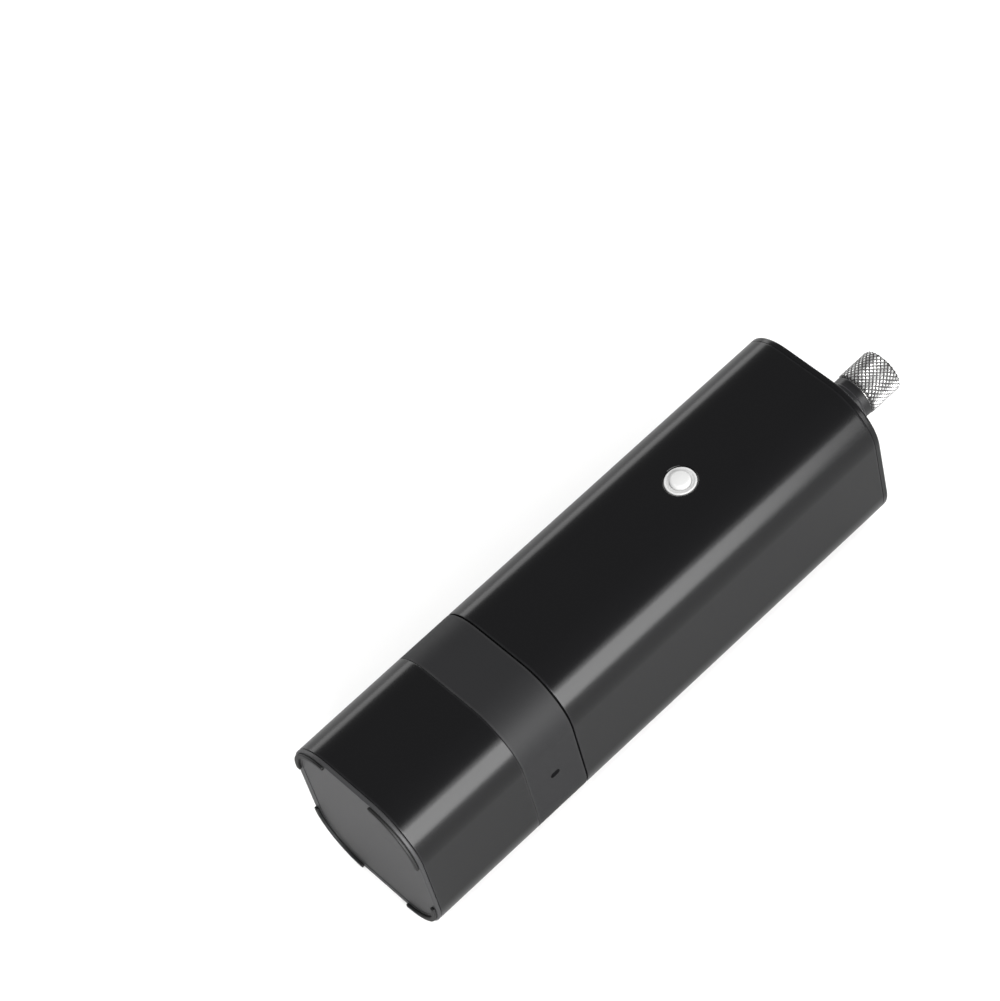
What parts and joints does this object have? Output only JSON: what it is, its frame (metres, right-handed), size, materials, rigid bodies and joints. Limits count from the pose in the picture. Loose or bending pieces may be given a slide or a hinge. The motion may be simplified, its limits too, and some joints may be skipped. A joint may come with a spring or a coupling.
{
  "type": "airbrush compressor",
  "caption": "Handheld cordless air compressor: rounded rectangular body, push button, plug-in battery end and a knurled swivel nut for an airbrush.",
  "frame": {"origin": "centre of the bounding box in plan, on the surface that the back face rests on", "axes": "+X along the body from the battery end to the air outlet, +Z out of the button face, -Y out of the face with the charge light"},
  "size_m": [0.17, 0.042, 0.0479],
  "materials": {
    "shell_black": "black anodised aluminium, satin with a soft sheen",
    "band_matte": "moulded black plastic with a fine matte grain",
    "base_grey": "moulded dark plastic, matte",
    "foot_grey": "dark soft-touch rubber",
    "collar_black": "black anodised ring, satin",
    "nut_chrome": "bright plated, crossed knurl",
    "brass": "turned brass",
    "felt": "pressed felt",
    "seal_rubber": "black rubber",
    "silicone": "clear grey silicone rubber",
    "spring_steel": "spring steel",
    "button_white": "moulded white plastic, satin",
    "switch_black": "moulded black plastic",
    "circuit_board": "green solder mask",
    "screw_steel": "zinc plated steel",
    "chip_black": "moulded package",
    "motor_steel": "zinc plated drawn steel",
    "moulded_black": "moulded black plastic",
    "magnet_grey": "ferrite, dull",
    "contact_gold": "gold plated contact",
    "shaft_steel": "ground steel",
    "pump_plastic": "glass-filled plastic",
    "rod_plastic": "natural acetal",
    "bearing_steel": "polished bearing steel",
    "cradle_plastic": "moulded black plastic",
    "foam": "open-cell foam",
    "wire_red": "wire insulation",
    "nickel": "nickel strip",
    "cell_wrap": null,
    "port_steel": "plated steel shell",
    "light_body": "moulded lamp body",
    "light_window": "dark smoked light window"
  },
  "bodies": {
    "casing": {"main_casing": "shell_black", "top_cap": "shell_black", "intake_filter": "felt", "outlet_stem": "brass", "stem_gasket": "seal_rubber", "outlet_collar": "collar_black", "nut_retaining_ring": "spring_steel", "nut_washer": "seal_rubber", "button_bezel": "button_white", "button_return_pad": "silicone", "tact_switch": "switch_black", "control_board": "circuit_board", "small_screws": "screw_steel", "board_chips": "chip_black", "motor_can": "motor_steel", "motor_end_cap": "moulded_black", "motor_magnets": "magnet_grey", "motor_bush": "brass", "motor_terminals": "contact_gold", "pump_housing": "pump_plastic", "crankcase_cover": "pump_plastic", "motor_screws": "screw_steel", "diaphragm": "seal_rubber", "valve_plate": "pump_plastic", "valve_sheet": "seal_rubber", "pump_head": "pump_plastic", "pump_screws": "screw_steel", "air_hose": "silicone", "hose_clips": "spring_steel", "pump_cradle": "cradle_plastic", "rubber_mounts": "seal_rubber", "damping_foam": "foam", "contact_block": "moulded_black", "contact_pins": "contact_gold", "power_leads": "wire_red"},
    "battery_pack": {"base_cap": "base_grey", "corner_feet": "foot_grey", "battery_sleeve": "shell_black", "battery_collar": "band_matte", "battery_cells": "cell_wrap", "cell_spacers": "cradle_plastic", "nickel_strips": "nickel", "battery_board": "circuit_board", "neck_cover": "moulded_black", "contact_pads": "contact_gold", "charge_board": "circuit_board", "usb_port": "port_steel", "light_board": "circuit_board", "status_light": "light_body", "light_pipe": "light_window"},
    "button": {"button_cap": "button_white", "switch_plunger": "switch_black"},
    "outlet_nut": {"swivel_nut": "nut_chrome"},
    "rotor": {"motor_rotor": "motor_steel", "motor_shaft": "shaft_steel", "eccentric": "shaft_steel"},
    "rod": {"rod_bearing": "bearing_steel", "connecting_rod": "rod_plastic", "diaphragm_clamp": "shaft_steel", "diaphragm_screw": "screw_steel"}
  },
  "joints": [
    {"name": "power_button", "type": "slide", "parent": "casing", "child": "button", "axis": [0, 0, -1], "range_m": [0, 0.0006], "stiffness_N_per_m": 3000, "deforming": ["button_return_pad"]},
    {"name": "outlet_nut_spin", "type": "hinge", "parent": "casing", "child": "outlet_nut", "pos_m": [0.07933, -0.0012, 0.02335], "axis": [1, 0, 0], "continuous": true},
    {"name": "battery_release", "type": "slide", "parent": "casing", "child": "battery_pack", "axis": [-1, 0, 0], "range_m": [0, 0.028]},
    {"name": "motor_spin", "type": "hinge", "parent": "casing", "child": "rotor", "pos_m": [0.02683, 0, 0.02335], "axis": [1, 0, 0], "continuous": true, "deforming": ["diaphragm"]},
    {"name": "rod_orbit", "type": "hinge", "parent": "rotor", "child": "rod", "pos_m": [0.04163, 0, 0.02235], "axis": [1, 0, 0], "continuous": true}
  ],
  "couplings": [
    {"joint": "rod_orbit", "follows": "motor_spin", "ratio": -1}
  ]
}
